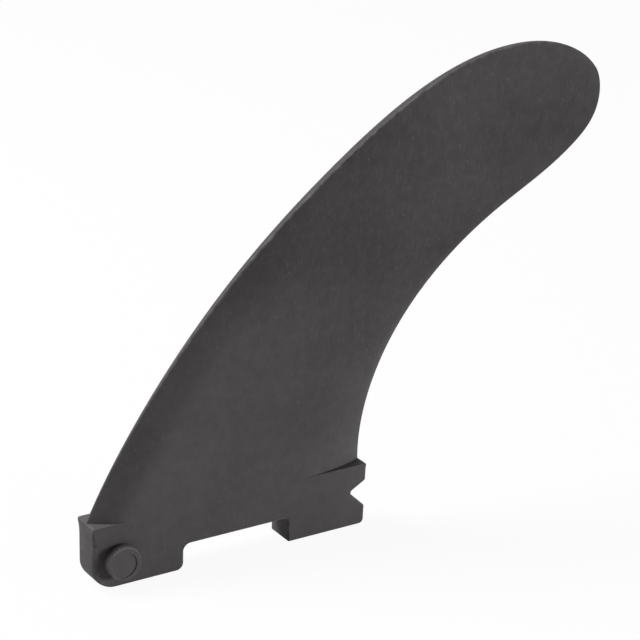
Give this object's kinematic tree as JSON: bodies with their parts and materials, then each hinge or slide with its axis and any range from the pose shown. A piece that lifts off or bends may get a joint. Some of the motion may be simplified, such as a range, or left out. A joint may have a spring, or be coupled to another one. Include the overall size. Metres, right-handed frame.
{
  "type": "paddleboard fin",
  "caption": "Swept, foiled centre fin for an inflatable paddleboard, moulded in one piece with a slide-in root that has tabs, side pins and a latch notch.",
  "frame": {"origin": "foot of the front tab on the mid-plane, straight under the axis of the side pins, 11 mm aft of the root's front face", "axes": "+X aft along the board, +Z from the root to the blade's tip, +Y across the fin to the side away from the camera in the picture"},
  "size_m": [0.2301, 0.0226, 0.1868],
  "materials": {
    "black_plastic": "matte moulded black plastic with fine scuffs"
  },
  "bodies": {
    "root": {"fin": "black_plastic"}
  },
  "joints": []
}
